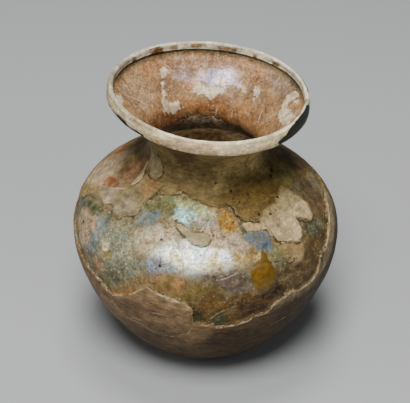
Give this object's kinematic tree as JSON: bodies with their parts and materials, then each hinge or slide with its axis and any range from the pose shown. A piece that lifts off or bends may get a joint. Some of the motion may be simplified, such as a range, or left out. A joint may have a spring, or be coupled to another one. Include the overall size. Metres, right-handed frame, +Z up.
{
  "type": "glass vase",
  "caption": "Small ancient blown glass vase: a round belly, a short neck and a wide funnel mouth with a rolled rim, crusted and iridescent from burial.",
  "frame": {"origin": "centre of the underside, on the plane it stands on", "axes": "+Z up through the belly's centre, -Y towards the pictured front, +X to the right of it"},
  "size_m": [0.0746, 0.0745, 0.0815],
  "materials": {
    "weathered_glass": "opaque cream and brown weathering crust, flaked away round the shoulder to a pearly, iridescent film over amber-green glass"
  },
  "bodies": {
    "root": {"vase": "weathered_glass"}
  },
  "joints": []
}
